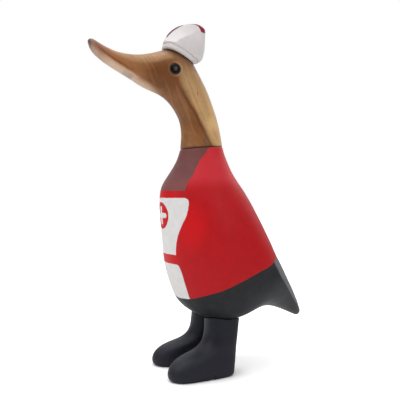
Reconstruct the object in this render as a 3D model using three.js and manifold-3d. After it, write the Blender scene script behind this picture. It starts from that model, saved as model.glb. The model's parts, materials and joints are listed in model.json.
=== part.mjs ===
// A wooden duck that stands in rubber boots, painted with a nurse's coat, apron and cap.
// Millimetres, +Z up. The duck looks along -Y and its left side is at +X. The origin is on the
// ground, under the middle of the bounding box. The head is polished wood, the rest is painted.
import * as THREE from "three";
import { mergeVertices } from "three/addons/utils/BufferGeometryUtils.js";
import Module from "manifold-3d";

const wasm = await Module();
wasm.setup();

// Driving dimensions
const GLUE_GAP = 0.3; // left between pieces that are glued together
const EYE = { fore: 34.5, z: 297.3, lateral: 15.8, radius: 4.8, bulge: 3.0 };
const BOOT_SPREAD = 24.5; // from the middle plane to the middle of each heel
const BOOT_SPLAY = 4; // degrees that each toe points outwards
const HEEL = { fore: 2.6, breast: 2.2, arch: 1.1, archFore: 6.0, ballFore: 13.0 };
const BOW_POWER = 0.68; // 0.5 gives a creased section's low end a round nose, 1 a straight wedge
const CAP_SEAT = { fore: 21.3, z: 310.2, tilt: 26 }; // the middle of the cap's base, and its lean

// A cross-section is a closed curve round a rung. The rung lies in the middle plane, from its low
// end to its high end, each given as [fore, z] with fore measured towards the bill. The section is
// widest at `at` of the way up the rung, where it reaches `half` to each side. `under` and `over`
// say how square it is below and above that: 2 is an ellipse, more is squarer, less is sharper.
// `aside` moves the section off the middle plane. `crease` runs from 0, for a section that rounds
// its widest place, to 1, for one that narrows from there to its low end like a boat's bow.
const rung = (low, high, half, at = 0.5, under = 2, over = 2, aside = 0, crease = 0) => ({
  low,
  high,
  half,
  at,
  under,
  over,
  aside,
  crease,
});

// A rung that lies level at height z, from the front to the back.
const level = (z, front, back, half, at, under, over, aside, crease) =>
  rung([front, z], [back, z], half, at, under, over, aside, crease);

// From the tip of the tail, along the belly and the flat back, up to the neck.
const BODY_RUNGS = [
  rung([-109.9, 46.1], [-112.1, 48.3], 2.0, 0.6, 2.1, 2.3),
  rung([-107.7, 46.2], [-112.5, 51.6], 4.8, 0.62, 2.1, 2.6),
  rung([-99.3, 49.9], [-108.4, 57.0], 10.5, 0.66, 2.1, 3.2),
  rung([-88.7, 54.5], [-104.0, 63.4], 16.0, 0.7, 2.1, 3.6),
  rung([-77.0, 58.5], [-99.1, 70.5], 21.5, 0.7, 2.2, 3.6),
  rung([-65.5, 60.2], [-94.7, 78.8], 26.5, 0.66, 2.3, 3.5),
  rung([-53.8, 60.0], [-89.9, 87.6], 31.5, 0.6, 2.4, 3.3),
  rung([-40.8, 56.6], [-85.3, 97.0], 36.0, 0.54, 2.6, 3.0),
  rung([-26.0, 51.8], [-80.7, 106.6], 40.5, 0.5, 3.0, 2.7),
  rung([-8.0, 51.2], [-76.4, 117.0], 44.0, 0.48, 3.2, 2.3),
  rung([9.6, 57.4], [-71.3, 127.8], 46.5, 0.49, 3.0, 2.3),
  rung([24.0, 69.2], [-66.2, 138.6], 47.2, 0.5, 2.5, 2.2),
  rung([32.8, 87.2], [-60.2, 149.9], 46.8, 0.5, 2.2, 2.2),
  rung([38.6, 108.2], [-54.4, 161.1], 45.5, 0.5, 2.1, 2.1),
  rung([40.8, 130.2], [-48.1, 171.8], 43.0, 0.5, 2.1, 2.1),
  rung([43.2, 152.0], [-41.4, 183.0], 39.5),
  rung([44.1, 169.0], [-35.0, 192.4], 35.8),
  rung([42.6, 183.8], [-29.8, 201.4], 31.0),
  rung([34.6, 196.6], [-26.3, 210.1], 26.2),
  rung([26.8, 209.6], [-23.3, 218.0], 22.0),
  rung([22.9, 221.5], [-21.5, 224.4], 20.0),
];

// From the neck joint up round the crown, and out along the bill to its tip.
const HEAD_RUNGS = [
  rung([22.9, 221.5 + GLUE_GAP], [-21.5, 224.4 + GLUE_GAP], 20.0),
  rung([22.2, 232.5], [-18.2, 242.2], 18.5),
  rung([23.1, 242.0], [-13.8, 257.6], 17.4),
  rung([25.3, 250.9], [-7.5, 274.0], 16.8),
  rung([29.1, 258.2], [-1.0, 288.7], 16.6),
  rung([33.7, 264.1], [7.7, 301.8], 16.8, 0.52, 2.0, 2.05),
  rung([39.3, 269.0], [17.2, 314.0], 17.2, 0.54, 2.0, 2.2),
  rung([46.0, 273.3], [29.4, 320.2], 17.0, 0.52, 2.0, 2.2),
  rung([54.4, 277.1], [41.7, 318.4], 16.0, 0.48, 2.0, 2.05),
  rung([63.7, 281.9], [53.5, 314.8], 14.6, 0.42, 2.3, 1.9),
  rung([73.5, 288.4], [65.5, 312.1], 13.2, 0.34, 2.8, 1.8),
  rung([84.2, 294.6], [77.5, 311.7], 12.4, 0.28, 3.2, 1.7),
  rung([95.4, 300.7], [89.5, 313.2], 11.8, 0.28, 3.2, 1.7),
  rung([104.6, 306.8], [100.0, 317.0], 10.6, 0.28, 3.2, 1.8),
  rung([110.0, 311.2], [106.0, 320.0], 9.2, 0.3, 2.8, 1.9),
  rung([112.9, 314.8], [110.2, 322.2], 7.2, 0.34, 2.5, 1.9),
  rung([114.5, 318.0], [113.0, 322.6], 4.2, 0.42, 2.2, 2.0),
  rung([115.2, 320.0], [114.8, 321.6], 1.4),
];

// The cap, level with its own base: a band with a groove over it, and a dome that ends in a short
// ridge. Its flat sides meet the round front along a crease that runs up and back to the ridge.
const CAP_RUNGS = [
  level(0.0, 22.4, -9.2, 15.0, 0.42, 2.1, 2.2),
  level(0.7, 23.3, -10.4, 15.8, 0.41, 2.1, 2.3),
  level(3.4, 24.2, -13.0, 16.2, 0.36, 2.1, 2.5),
  level(4.4, 22.7, -13.4, 15.2, 0.32, 2.1, 2.6),
  level(5.8, 24.8, -15.2, 15.8, 0.24, 2.1, 2.8, 0, 0.3),
  level(8.8, 25.2, -16.8, 15.2, 0.23, 2.0, 3.0, 0, 0.9),
  level(15.8, 24.6, -16.4, 13.0, 0.32, 2.0, 3.1, 0, 1),
  level(21.8, 22.6, -14.5, 10.4, 0.41, 2.0, 3.1, 0, 1),
  level(27.8, 19.1, -12.4, 7.6, 0.5, 2.0, 3.0, 0, 1),
  level(33.3, 14.0, -10.3, 4.9, 0.59, 2.0, 2.9, 0, 0.9),
  level(37.5, 8.8, -8.6, 2.9, 0.64, 2.0, 2.7, 0, 0.6),
  level(39.9, 3.2, -7.0, 1.4, 0.6, 2.0, 2.4),
];

// One boot on its own middle plane: a rounded sole, the toe, the instep and the shaft.
const BOOT_RUNGS = [
  level(0.0, 41.2, -20.8, 12.4, 0.28, 2.2, 3.8),
  level(1.4, 43.8, -22.0, 14.0, 0.28, 2.1, 4.0),
  level(4.2, 45.1, -22.4, 14.8, 0.28, 2.1, 4.2),
  level(9.0, 44.8, -22.9, 15.0, 0.29, 2.1, 4.2, -0.2),
  level(14.0, 42.1, -23.8, 14.9, 0.32, 2.1, 4.0, -0.6),
  level(18.5, 36.6, -24.5, 14.7, 0.36, 2.1, 3.8, -1.2),
  level(22.0, 28.0, -25.2, 14.5, 0.4, 2.1, 3.6, -1.8),
  level(25.0, 18.4, -25.6, 14.4, 0.44, 2.2, 3.4, -2.4),
  level(29.5, 10.4, -26.3, 14.3, 0.48, 2.3, 3.2, -3.1),
  level(36.0, 5.8, -27.3, 14.3, 0.5, 2.4, 3.2, -3.8),
  level(46.0, 3.8, -28.8, 14.3, 0.5, 2.5, 3.2, -4.4),
  level(66.0, 2.8, -31.6, 14.3, 0.5, 2.5, 3.2, -5.4),
];

// A smooth curve through one number of every rung, by how far along the list it is.
function track(rungs, read) {
  const points = rungs.map((r, i) => new THREE.Vector3(i, read(r), 0));
  const curve = new THREE.CatmullRomCurve3(points, false, "catmullrom", 0.5);
  return (t) => curve.getPoint(t).y;
}

// The rungs as one smooth function of t, from 0 at the first rung to 1 at the last.
function blendRungs(rungs) {
  const lowFore = track(rungs, (r) => r.low[0]);
  const lowZ = track(rungs, (r) => r.low[1]);
  const highFore = track(rungs, (r) => r.high[0]);
  const highZ = track(rungs, (r) => r.high[1]);
  const half = track(rungs, (r) => r.half);
  const at = track(rungs, (r) => r.at);
  const under = track(rungs, (r) => r.under);
  const over = track(rungs, (r) => r.over);
  const aside = track(rungs, (r) => r.aside);
  const crease = track(rungs, (r) => r.crease);
  return (t) => {
    const low = [lowFore(t), lowZ(t)];
    const high = [highFore(t), highZ(t)];
    return rung(low, high, half(t), at(t), under(t), over(t), aside(t), crease(t));
  };
}

// A point on a rung's cross-section, at `turn` radians round it.
function onSection(r, turn) {
  const across = Math.cos(turn);
  const along = Math.sin(turn);
  const power = 2 / (along < 0 ? r.under : r.over);
  const reach = Math.abs(along) ** power;
  const share = along < 0 ? r.at * (1 - reach) : r.at + (1 - r.at) * reach;
  const fore = THREE.MathUtils.lerp(r.low[0], r.high[0], share);
  const z = THREE.MathUtils.lerp(r.low[1], r.high[1], share);
  const round = Math.abs(across) ** power;
  const bow = along < 0 ? (1 - reach) ** BOW_POWER : round;
  const width = r.half * THREE.MathUtils.lerp(round, bow, r.crease);
  const lateral = r.aside + Math.sign(across) * width;
  return new THREE.Vector3(lateral, -fore, z);
}

// A closed skin over rings of points that run anticlockwise as seen from the last ring.
function skin(rings) {
  const around = rings[0].length;
  const middles = [rings[0], rings.at(-1)].map((ring) =>
    ring.reduce((sum, p) => sum.add(p), new THREE.Vector3()).divideScalar(around),
  );
  const points = [...rings.flat(), ...middles];
  const first = points.length - 2;
  const last = points.length - 1;
  const faces = [];
  for (let i = 0; i < around; i++) {
    const next = (i + 1) % around;
    const end = (rings.length - 1) * around;
    faces.push(first, next, i);
    faces.push(last, end + i, end + next);
    for (let j = 0; j + 1 < rings.length; j++) {
      const low = j * around;
      const high = low + around;
      faces.push(low + i, low + next, high + next, low + i, high + next, high + i);
    }
  }
  return new THREE.BufferGeometry().setFromPoints(points).setIndex(faces);
}

// The solid that the rungs carve out, with `steps` bands of `around` faces.
function carve(rungs, steps, around) {
  const blended = blendRungs(rungs);
  const rings = Array.from({ length: steps + 1 }, (_, j) => {
    const r = blended(j / steps);
    return Array.from({ length: around }, (_, i) => onSection(r, (2 * Math.PI * i) / around));
  });
  return solid(skin(rings));
}

// A closed geometry as a solid that can be cut.
function solid(geometry) {
  const bare = geometry.clone();
  bare.deleteAttribute("normal");
  bare.deleteAttribute("uv");
  const merged = mergeVertices(bare);
  const vertProperties = Float32Array.from(merged.attributes.position.array);
  const triVerts = Uint32Array.from(merged.index.array);
  return new wasm.Manifold(new wasm.Mesh({ numProp: 3, vertProperties, triVerts }));
}

function mesh(name, shape, material) {
  const { numProp, vertProperties, triVerts } = shape.getMesh();
  const points = [];
  for (let i = 0; i < vertProperties.length; i += numProp) {
    points.push(new THREE.Vector3(...vertProperties.subarray(i, i + 3)));
  }
  const geometry = new THREE.BufferGeometry().setFromPoints(points).setIndex([...triVerts]);
  geometry.computeVertexNormals();
  const made = new THREE.Mesh(geometry, material);
  made.name = name;
  return made;
}

const paint = (color, roughness) => new THREE.MeshStandardMaterial({ color, roughness });
const teak = paint(0x8f6236, 0.45);
const coatPaint = paint(0xb02025, 0.6);
const capPaint = paint(0xe6e2e2, 0.6);
const bootPaint = paint(0x2d2e33, 0.7);
const beadGloss = paint(0x0b0b0c, 0.12);

// An eye bead: a ball flattened towards the head, grown on all sides by `slack`.
function bead(side, slack) {
  const ball = new THREE.SphereGeometry(1, 16, 10);
  ball.rotateZ(Math.PI / 2);
  ball.scale(EYE.bulge + slack, EYE.radius + slack, EYE.radius + slack);
  ball.translate(side * EYE.lateral, -EYE.fore, EYE.z);
  return solid(ball);
}

// The step in front of the heel and the low arch behind the ball of the foot, cut across the sole.
function underArch() {
  const outline = new THREE.Shape([
    new THREE.Vector2(HEEL.fore, -2),
    new THREE.Vector2(HEEL.fore, HEEL.breast),
    new THREE.Vector2(HEEL.archFore, HEEL.arch),
    new THREE.Vector2(HEEL.ballFore, -2),
  ]);
  const width = 60;
  const cut = new THREE.ExtrudeGeometry(outline, { depth: width, bevelEnabled: false });
  cut.translate(0, 0, -width / 2);
  cut.rotateX(Math.PI / 2);
  cut.rotateZ(-Math.PI / 2);
  return solid(cut);
}

// The left boot, and for the right one its mirror image.
function boot(side, body) {
  const upright = carve(BOOT_RUNGS, 20, 24).subtract(underArch());
  const left = upright.rotate([0, 0, BOOT_SPLAY]).translate([BOOT_SPREAD, 0, 0]);
  const placed = side > 0 ? left : left.mirror([1, 0, 0]);
  return placed.subtract(body.translate([0, 0, -GLUE_GAP]));
}

function cap(head) {
  const upright = carve(CAP_RUNGS, 22, 26).rotate([-CAP_SEAT.tilt, 0, 0]);
  const placed = upright.translate([0, -CAP_SEAT.fore, CAP_SEAT.z]);
  return placed.subtract(head.translate([0, 0, GLUE_GAP]));
}

const body = carve(BODY_RUNGS, 40, 34);
const bareHead = carve(HEAD_RUNGS, 40, 28);
const head = bareHead.subtract(bead(1, GLUE_GAP)).subtract(bead(-1, GLUE_GAP));

const duck = new THREE.Group();
duck.add(mesh("body", body, coatPaint));
duck.add(mesh("head", head, teak));
duck.add(mesh("cap", cap(bareHead), capPaint));
duck.add(mesh("eye_left", bead(1, 0), beadGloss));
duck.add(mesh("eye_right", bead(-1, 0), beadGloss));
duck.add(mesh("boot_left", boot(1, body), bootPaint));
duck.add(mesh("boot_right", boot(-1, body), bootPaint));

// The origin belongs on the ground, under the middle of the bounding box.
const box = new THREE.Box3().setFromObject(duck);
const middle = box.getCenter(new THREE.Vector3());
duck.children.forEach((piece) => piece.geometry.translate(-middle.x, -middle.y, -box.min.z));

export default duck;
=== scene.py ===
"""A carved wooden duck that stands in boots: bare wood head, small cap, painted coat and apron."""
import json
import math
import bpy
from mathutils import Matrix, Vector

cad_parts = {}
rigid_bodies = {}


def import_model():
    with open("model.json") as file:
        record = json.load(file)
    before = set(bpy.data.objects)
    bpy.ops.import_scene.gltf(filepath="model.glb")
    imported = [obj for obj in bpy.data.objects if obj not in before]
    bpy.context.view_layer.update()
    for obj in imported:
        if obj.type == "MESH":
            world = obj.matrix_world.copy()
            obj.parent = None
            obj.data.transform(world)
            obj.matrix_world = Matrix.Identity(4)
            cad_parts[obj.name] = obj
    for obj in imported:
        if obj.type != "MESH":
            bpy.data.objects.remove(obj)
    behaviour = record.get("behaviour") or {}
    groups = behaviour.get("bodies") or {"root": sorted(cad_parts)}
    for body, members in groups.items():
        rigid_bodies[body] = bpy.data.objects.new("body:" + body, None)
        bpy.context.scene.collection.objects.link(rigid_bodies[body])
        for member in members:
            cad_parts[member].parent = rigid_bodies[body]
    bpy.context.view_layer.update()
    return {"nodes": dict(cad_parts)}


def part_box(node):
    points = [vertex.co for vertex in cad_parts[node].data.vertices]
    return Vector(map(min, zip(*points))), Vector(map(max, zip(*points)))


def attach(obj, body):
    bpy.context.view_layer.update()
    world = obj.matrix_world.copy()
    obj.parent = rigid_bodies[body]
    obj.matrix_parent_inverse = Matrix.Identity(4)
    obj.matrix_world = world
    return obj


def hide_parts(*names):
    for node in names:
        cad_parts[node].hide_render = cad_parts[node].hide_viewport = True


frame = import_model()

from types import SimpleNamespace

import bpy
import numpy as np
from bpy.props import FloatProperty, FloatVectorProperty, IntProperty, PointerProperty
from mathutils import Vector

bl_info = {
    "name": "Wooden Duck in Boots",
    "version": (1, 0, 0),
    "blender": (4, 5, 0),
    "location": "View3D > Sidebar > Duck",
    "description": "Finishes the carved duck's head, cap, eyes, painted body and boots",
    "category": "Add Mesh",
}

MM = 0.001
WHITE = (1.0, 1.0, 1.0)


# Sizes and colours

def length(name, description, millimetres):
    return FloatProperty(name=name, description=description, default=millimetres * MM, unit="LENGTH")


def angle(name, description, degrees):
    return FloatProperty(
        name=name, description=description, default=math.radians(degrees), unit="ROTATION"
    )


def share(name, description, default):
    return FloatProperty(name=name, description=description, default=default, subtype="FACTOR")


def amount(name, description, default):
    return FloatProperty(name=name, description=description, default=default)


def colour_of(name, description, default):
    return FloatVectorProperty(
        name=name, description=description, default=default, subtype="COLOR", size=3, min=0, max=1
    )


class DuckForm(bpy.types.PropertyGroup):
    body_levels: IntProperty(
        name="Smoothing", description="Subdivisions of the body's and head's skin", default=2, min=0, max=3
    )
    cap_grain: length("Cap mesh size", "Size of the cap's mesh faces", 0.4)
    boot_grain: length("Boot mesh size", "Size of the boots' mesh faces", 0.5)


class DuckEyes(bpy.types.PropertyGroup):
    radius: length("Radius", "Radius of the bead", 4.8)
    bulge: length("Depth", "Half the thickness of the bead", 3.1)
    socket_depth: length("Socket depth", "How far the wood dips round the bead", 0.9)
    dark: colour_of("Dark", "Black of the bead", (0.0015, 0.0013, 0.001))
    light: colour_of("Light", "Paler clouds in the black", (0.003, 0.0025, 0.002))
    # Painted highlight: the grey middle stands for the light's reflection in the bead
    core: colour_of("Core", "Grey middle of the bead", (0.066, 0.060, 0.051))


class DuckPaint(bpy.types.PropertyGroup):
    coat: colour_of("Coat", "Red of the coat and belt", (0.42, 0.0024, 0.0055))
    # Painted sheen: the lighter red stands for the light from above falling on the shoulders
    shoulder: colour_of("Shoulder", "Lighter red over the shoulders", (0.58, 0.026, 0.038))
    # Painted light: the brighter red stands for the front light falling on the flanks and breast
    flank: colour_of("Flank", "Fresh red of the flanks and breast", (0.533, 0.0022, 0.0052))
    throat: colour_of("Throat", "Brown above the apron", (0.155, 0.048, 0.045))
    apron: colour_of("Apron", "Off-white of bib and skirt", (0.69, 0.672, 0.66))
    trousers: colour_of("Trousers", "Charcoal below the coat", (0.0135, 0.014, 0.0155))
    # Painted sheen: the lighter charcoal stands for the gloss light caught along the tail's flat back
    faded: colour_of("Faded tail", "Rubbed charcoal on the tail's flat back", (0.162, 0.159, 0.165))
    streaks: colour_of("Dry streaks", "Dust in the brush marks", (0.6, 0.55, 0.5))
    boots: colour_of("Boots", "Bluish charcoal of the boots", (0.0060, 0.0064, 0.0118))
    # Painted sheen: the paler, bluer charcoal stands for the light from above on the toes and insteps
    feet: colour_of("Feet", "Paler charcoal of the boots' feet", (0.0104, 0.0106, 0.0182))
    scuffs: colour_of("Scuffs", "Rubbed spots near the ground", (0.07, 0.065, 0.06))
    heel_step: colour_of("Heel step", "Shadow in the step before the heel", (0.0008, 0.0008, 0.0008))
    cap: colour_of("Cap", "Off-white of the cap", (0.63, 0.592, 0.58))
    # Painted shade in the groove above the cap's band
    groove: colour_of("Cap groove", "Dirt in the groove above the cap's band", (0.27, 0.23, 0.22))
    stripe: colour_of("Stripe", "Maroon of the cap's stripe", (0.22, 0.009, 0.027))
    stripe_front: colour_of("Stripe front", "Plum of the stripe's front end", (0.11, 0.010, 0.040))
    roughness: share("Paint roughness", "Roughness of the coat's paint", 0.46)


class DuckWood(bpy.types.PropertyGroup):
    heart: colour_of("Heartwood", "Red-brown of the front of the neck", (0.232, 0.094, 0.032))
    cheek: colour_of("Cheek", "Deep red-brown of the cheek", (0.137, 0.038, 0.003))
    bill: colour_of("Bill", "Golden brown of the bill", (0.31, 0.118, 0.036))
    # Painted light: the paler wood stands for the light from above on the bill's top
    worn: colour_of("Worn bill", "Paler wood along the top of the bill", (0.36, 0.184, 0.070))
    # Painted reflection of the pale floor: the paler underside of the bill and its greyer lowest rim
    under: colour_of("Underside", "Pale wood under the bill", (0.52, 0.352, 0.231))
    lower_rim: colour_of("Lower rim", "Greyed wood at the bill's lowest edge", (0.50, 0.415, 0.335))
    blush: colour_of("Blush", "Redder wood under the bill's end", (0.26, 0.10, 0.052))
    bill_end: colour_of("Bill end", "Darker wood towards the tip", (0.22, 0.115, 0.080))
    tip: colour_of("Bill tip", "Nearly black point of the bill", (0.068, 0.052, 0.046))
    stain: colour_of("Stain", "Grey-brown mark under the bill", (0.27, 0.20, 0.15))
    sap: colour_of("Sapwood", "Tan of the back of the neck", (0.52, 0.308, 0.132))
    high_sap: colour_of("High sapwood", "Browner tan below the cap", (0.30, 0.172, 0.072))
    amber: colour_of("Amber", "Golden patches in the sapwood", (0.58, 0.32, 0.115))
    honey: colour_of("Honey", "Palest patch low on the neck", (0.64, 0.41, 0.175))
    ring: colour_of("Growth line", "Dark line between the two", (0.095, 0.030, 0.006))
    knot: colour_of("Knot", "Small red knot in the sapwood", (0.24, 0.05, 0.02))
    # Painted shadow under the cap's edge, with some dirty glue there
    seat: colour_of("Cap's seat", "Dark edge below the cap", (0.030, 0.018, 0.010))
    rubbed: colour_of("Rubbed eye", "Worn wood round the eye", (0.42, 0.26, 0.125))
    eye_gap: colour_of("Eye gap", "Dark gap round the bead", (0.008, 0.005, 0.003))
    roughness: share("Lacquer roughness", "Roughness of the clear lacquer", 0.36)


class DuckStage(bpy.types.PropertyGroup):
    camera_place: FloatVectorProperty(
        name="Camera place", description="Where the camera stands",
        default=(0.5107, -0.1973, 0.176), subtype="TRANSLATION", unit="LENGTH",
    )
    camera_turn: angle("Camera turn", "Angle round the duck, from straight ahead of it", 69)
    camera_dip: angle("Camera dip", "How far the camera looks down", 0.53)
    lens: amount("Lens", "Focal length in mm", 48.6)
    low_sky: amount("Low light", "Soft light from the sides", 0.05)
    high_sky: amount("High light", "Soft light from above", 1.18)
    front_light: amount("Front softbox", "Watts from before the breast", 2.4)
    high_light: amount("High softbox", "Watts from above the bill", 1.6)
    side_light: amount("Side softbox", "Watts from beside the tail", 1.3)
    back_light: amount("Back softbox", "Watts from behind the tail", 1.2)
    top_light: amount("Top softbox", "Watts from straight above", 6.9)
    wall_glow: amount("Wall glow", "Light of the pale wall behind", 0.38)
    floor_glow: amount("Floor glow", "Light that the floor shows", 0.38)


# Node building

PAINT_EDGE = 0.4
NOISE_SWING = 4


def times(factor, colour):
    return [factor * part for part in colour]


class Nodes:
    """A node tree that is filled from left to right."""

    def __init__(self, tree):
        self.tree = tree

    def feed(self, socket, value):
        if isinstance(value, bpy.types.NodeSocket):
            self.tree.links.new(value, socket)
        elif socket.type == "RGBA":
            socket.default_value = (*value, 1)
        else:
            socket.default_value = value

    def node(self, kind, values=(), **settings):
        made = self.tree.nodes.new(kind)
        for key, value in settings.items():
            setattr(made, key, value)
        for key, value in dict(values).items():
            self.feed(made.inputs[key], value)
        return made

    def math(self, operation, first, second=0.0, third=0.0):
        return self.node("ShaderNodeMath", {0: first, 1: second, 2: third}, operation=operation).outputs[0]

    def vector(self, operation, first, second):
        return self.node("ShaderNodeVectorMath", {0: first, 1: second}, operation=operation).outputs

    def minus(self, first, second):
        return self.math("SUBTRACT", first, second)

    def both(self, *masks):
        made = masks[0]
        for mask in masks[1:]:
            made = self.math("MULTIPLY", made, mask)
        return made

    def diagonal(self, first, second):
        """How long the slanted side is, over two sides at right angles."""
        squares = [self.math("POWER", side, 2.0) for side in (first, second)]
        return self.math("SQRT", self.math("ADD", *squares))

    def split(self, vector):
        return self.node("ShaderNodeSeparateXYZ", {0: vector}).outputs

    def ease(self, value, low, high, start=0.0, end=1.0):
        """From `start` at `low` to `end` at `high`, smoothly, and flat outside the two."""
        return self.node(
            "ShaderNodeMapRange", {0: value, 1: low, 2: high, 3: start, 4: end},
            interpolation_type="SMOOTHSTEP",
        ).outputs[0]

    def within(self, value, *fades):
        """How far the value has passed every one of the fades."""
        return self.both(*(self.ease(value, *fade) for fade in fades))


class Brush(Nodes):
    """The nodes of a new material. Lengths in it are in millimetres."""

    def __init__(self, name):
        self.material = bpy.data.materials.new(name)
        self.material.use_nodes = True
        super().__init__(self.material.node_tree)
        self.shader = self.tree.nodes["Principled BSDF"]

    def place(self):
        """Object coordinates in millimetres."""
        return self.scaled(self.node("ShaderNodeTexCoord").outputs["Object"], (1 / MM, 1 / MM, 1 / MM))

    def scaled(self, vector, factors):
        return self.vector("MULTIPLY", vector, factors)[0]

    def parts(self, place):
        """How far a place is to the side, to the back and up."""
        lateral, back, height = self.split(place)
        return SimpleNamespace(place=place, lateral=lateral, back=back, height=height)

    def noise(self, vector, size, detail=2.0, roughness=0.5, distortion=0.0, output="Fac"):
        """Soft noise from 0 to 1, with blotches about `size` millimetres across."""
        return self.node(
            "ShaderNodeTexNoise",
            {"Vector": vector, "Scale": 1 / size, "Detail": detail, "Roughness": roughness,
             "Distortion": distortion},
        ).outputs[output]

    def wobble(self, vector, size, reach):
        """The vector, moved about by up to `reach` millimetres, as a hand's edges are."""
        shift = self.vector("SUBTRACT", self.noise(vector, size, output="Color"), (0.5, 0.5, 0.5))[0]
        return self.vector("ADD", vector, self.scaled(shift, [NOISE_SWING * reach] * 3))[0]

    def above(self, value, edge, soft=PAINT_EDGE):
        """0 below the edge and 1 above it, blending over `soft`."""
        return self.ease(self.minus(value, edge), -soft / 2, soft / 2)

    def spot(self, at, middle, full, gone, squeeze=(1.0, 1.0)):
        """1 within `full` of a (back, height) place and 0 past `gone`; a squeeze above 1 narrows it."""
        away = [
            self.both(self.minus(value, centre), factor)
            for value, centre, factor in zip((at.back, at.height), middle, squeeze)
        ]
        return self.ease(self.diagonal(*away), gone, full)

    def track(self, value, points):
        """A smooth curve through (place, value) points."""
        places, values = zip(*points)
        low, high = min(values), max(values)
        along = self.node(
            "ShaderNodeMapRange", {0: value, 1: places[0], 2: places[-1], 3: 0.0, 4: 1.0}
        ).outputs[0]
        curve = self.node("ShaderNodeFloatCurve")
        stops = curve.mapping.curves[0].points
        while len(stops) < len(points):
            stops.new(0.5, 0.5)
        for stop, (at, reach) in zip(stops, points):
            stop.location = ((at - places[0]) / (places[-1] - places[0]), (reach - low) / (high - low))
        curve.mapping.update()
        self.feed(curve.inputs["Value"], along)
        return self.math("MULTIPLY_ADD", curve.outputs[0], high - low, low)

    def mix(self, mask, under, over):
        made = self.node("ShaderNodeMix", data_type="RGBA", clamp_factor=True)
        for socket, value in zip((0, 6, 7), (mask, under, over)):
            self.feed(made.inputs[socket], value)
        return made.outputs[2]

    def lay(self, colour, *coats):
        """The colour with each (mask, colour) coat laid over it in turn."""
        for mask, coat in coats:
            colour = self.mix(mask, colour, coat)
        return colour

    def mottled(self, cloud, colour, darkest, lightest=1.0, full=0.7):
        """The colour, clouded between a darker and a lighter shade of it."""
        return self.mix(self.ease(cloud, 0.3, full), times(darkest, colour), times(lightest, colour))

    def bump(self, height, millimetres, below=None):
        """A bump whose height of 1 stands so many millimetres proud."""
        values = {"Height": height, "Distance": millimetres * MM}
        if below is not None:
            values["Normal"] = below
        return self.node("ShaderNodeBump", values).outputs[0]

    def finish(self, colour, roughness, specular, relief=None):
        self.feed(self.shader.inputs["Base Color"], colour)
        self.feed(self.shader.inputs["Roughness"], roughness)
        self.shader.inputs["Specular IOR Level"].default_value = specular
        if relief is not None:
            self.feed(self.shader.inputs["Normal"], relief)
        return self.material


# Mesh work

MERGE_WITHIN = 0.02 * MM
QUAD_FLATNESS = math.radians(50)
QUAD_SKEW = math.radians(60)
LEAST_FACES = 3000

# The skin of the cap and boots: how firmly crisp edges are creased, how fine it is, how hard it is rubbed
EDGE_CREASE = 0.8
SKIN_LEVELS = 3
RUB = 0.5

# Hollows and swellings left by the rasp: back, height, reach, then the shift back and up, all in mm
RASPED = [
    (-42.0, 270.5, 24.0, 0.7, 1.0), (-27.0, 248.0, 22.0, 0.9, 0.0), (-3.0, 286.0, 20.0, -0.9, -0.3),
    (9.0, 264.0, 21.0, -0.8, 0.0), (17.0, 242.0, 21.0, -0.9, 0.0), (23.0, 220.0, 22.0, -0.9, 0.0),
    (32.0, 198.0, 24.0, -0.6, 0.0), (86.0, 86.0, 26.0, -0.6, -0.4),
]
RIDGE_RAISED = [(-2.0, 345.5, 10.0, 0.6, 0.9)]


def deselect_all():
    if bpy.context.object and bpy.context.object.mode != "OBJECT":
        bpy.ops.object.mode_set(mode="OBJECT")
    bpy.ops.object.select_all(action="DESELECT")


def work_on(piece):
    deselect_all()
    piece.select_set(True)
    bpy.context.view_layer.objects.active = piece


def copy_of_node(node, name):
    """A node's mesh as a piece of its own, merged and turned into four-sided faces."""
    work_on(frame["nodes"][node])
    bpy.ops.object.duplicate()
    piece = bpy.context.object
    piece.name = name
    piece.data.name = name
    piece.parent = None
    piece.data.materials.clear()
    bpy.ops.object.mode_set(mode="EDIT")
    bpy.ops.mesh.select_all(action="SELECT")
    bpy.ops.mesh.remove_doubles(threshold=MERGE_WITHIN)
    bpy.ops.mesh.customdata_custom_splitnormals_clear()
    bpy.ops.mesh.tris_convert_to_quads(face_threshold=QUAD_FLATNESS, shape_threshold=QUAD_SKEW)
    bpy.ops.mesh.select_all(action="DESELECT")
    bpy.ops.object.mode_set(mode="OBJECT")
    return piece


def apply_modifier(piece, kind, **settings):
    work_on(piece)
    bpy.ops.object.modifier_add(type=kind)
    modifier = piece.modifiers[-1]
    for key, value in settings.items():
        setattr(modifier, key, value)
    bpy.ops.object.modifier_apply(modifier=modifier.name)


def subdivide(piece, levels):
    apply_modifier(piece, "SUBSURF", levels=levels, render_levels=levels)


def soften(piece, grain, rounds, crisp):
    """An even skin of small faces, rubbed down except along edges sharper than `crisp` degrees."""
    keep_crisp(piece, crisp, EDGE_CREASE)
    subdivide(piece, SKIN_LEVELS)
    apply_modifier(piece, "REMESH", mode="VOXEL", voxel_size=grain, adaptivity=0.0)
    apply_modifier(piece, "SMOOTH", factor=RUB, iterations=rounds)
    smooth_shade(piece)


def smooth_shade(piece):
    work_on(piece)
    bpy.ops.object.shade_smooth()


def keep_crisp(piece, degrees, crease, chosen=lambda place: True):
    """Creases the edges sharper than so many degrees, where `chosen` takes their middles."""
    work_on(piece)
    bpy.ops.object.mode_set(mode="EDIT")
    bpy.ops.mesh.select_mode(type="EDGE")
    bpy.ops.mesh.select_all(action="DESELECT")
    bpy.ops.mesh.edges_select_sharp(sharpness=math.radians(degrees))
    bpy.ops.object.mode_set(mode="OBJECT")
    points = piece.data.vertices
    for edge in piece.data.edges:
        start, end = (points[i].co for i in edge.vertices)
        edge.select = edge.select and chosen((start + end) / 2)
    bpy.ops.object.mode_set(mode="EDIT")
    bpy.ops.transform.edge_crease(value=crease)
    bpy.ops.mesh.select_all(action="DESELECT")
    bpy.ops.object.mode_set(mode="OBJECT")


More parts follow.
